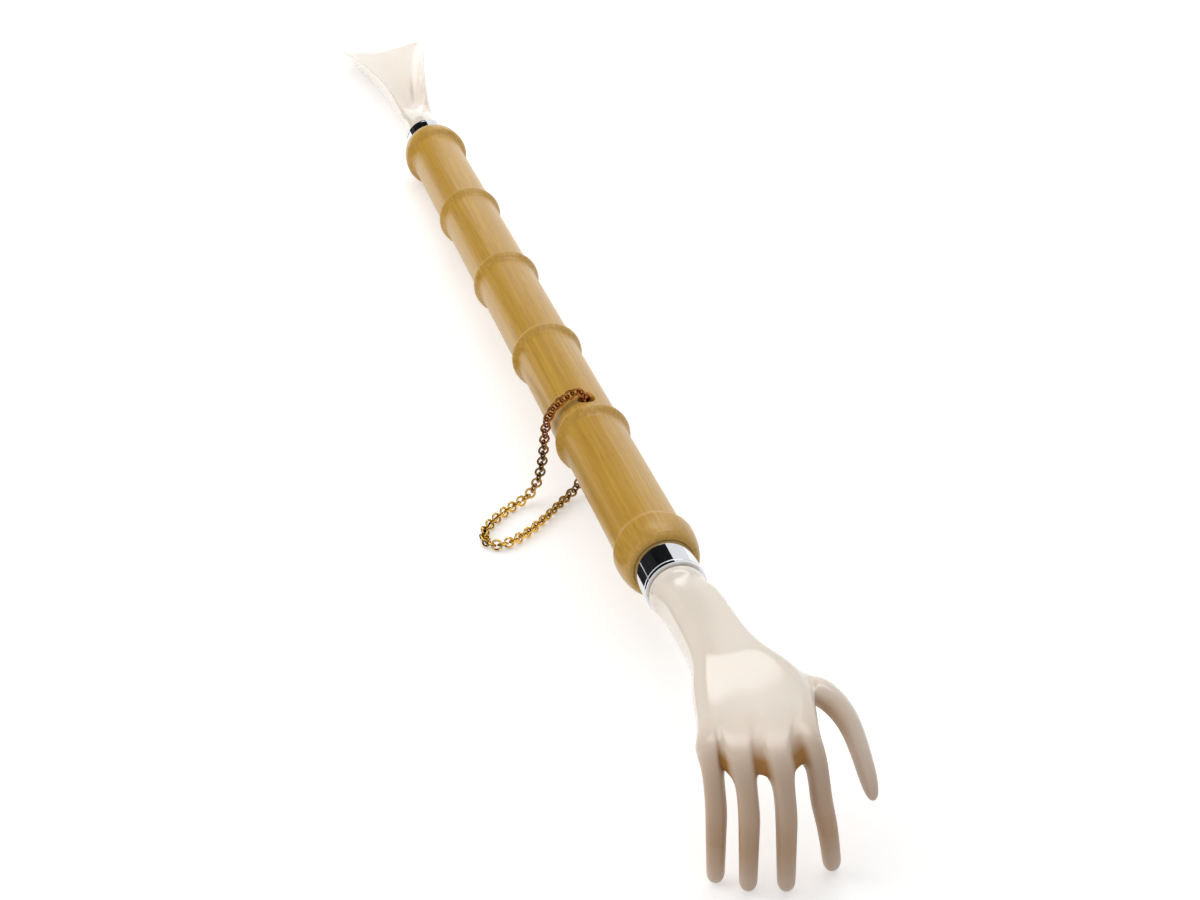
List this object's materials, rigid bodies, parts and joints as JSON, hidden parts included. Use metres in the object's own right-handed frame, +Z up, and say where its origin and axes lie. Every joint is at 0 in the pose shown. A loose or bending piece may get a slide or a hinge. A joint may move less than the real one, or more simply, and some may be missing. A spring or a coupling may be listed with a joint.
{
  "type": "back scratcher",
  "caption": "Back scratcher with a shoehorn: ringed turned wood handle, chrome ferrules, a moulded ivory hand, a trough-shaped blade at the other end and a gold chain loop to hang it by.",
  "frame": {"origin": "centre of the handle's cross hole, on the handle's axis", "axes": "+X along the tool towards the hand, +Z up as it lies on its fingertips and its end ring, +Y towards the thumb"},
  "size_m": [0.5676, 0.0655, 0.0394],
  "materials": {
    "lacquered_wood": "clear satin lacquer",
    "chrome_plate": "mirror plating",
    "ivory_plastic": "satin gloss moulding",
    "gold_chain": "polished gold colour"
  },
  "bodies": {
    "tool": {"handle": "lacquered_wood", "hand_ferrule": "chrome_plate", "shoehorn_ferrule": "chrome_plate", "hand": "ivory_plastic", "shoehorn": "ivory_plastic"},
    "chain_near": {"chain_in_hole": "gold_chain", "chain_over_handle": "gold_chain", "chain_under_handle": "gold_chain"},
    "chain_middle": {"chain_drop": "gold_chain", "chain_return": "gold_chain"},
    "chain_far": {"chain_outer_run": "gold_chain", "chain_inner_run": "gold_chain"},
    "chain_end": {"chain_loop_end": "gold_chain", "chain_joining_link": "gold_chain"}
  },
  "joints": [
    {"name": "chain_swing", "type": "hinge", "parent": "tool", "child": "chain_near", "pos_m": [0, 0, 0], "axis": [-0.05, 0, 0.9987], "range_deg": [-20, 6]},
    {"name": "fold_near", "type": "hinge", "parent": "chain_near", "child": "chain_middle", "pos_m": [0.0002, -0.01335, -0.00525], "axis": [0.2604, 0.251, -0.9323], "range_deg": [-30, 30]},
    {"name": "fold_middle", "type": "hinge", "parent": "chain_middle", "child": "chain_far", "pos_m": [0.0036, -0.02366, -0.02229], "axis": [0.8091, 0.5876, 0.0005], "range_deg": [-30, 30]},
    {"name": "fold_end", "type": "hinge", "parent": "chain_far", "child": "chain_end", "pos_m": [0.00962, -0.031, -0.02228], "axis": [0.8902, 0.4556, 0], "range_deg": [-30, 30]}
  ]
}
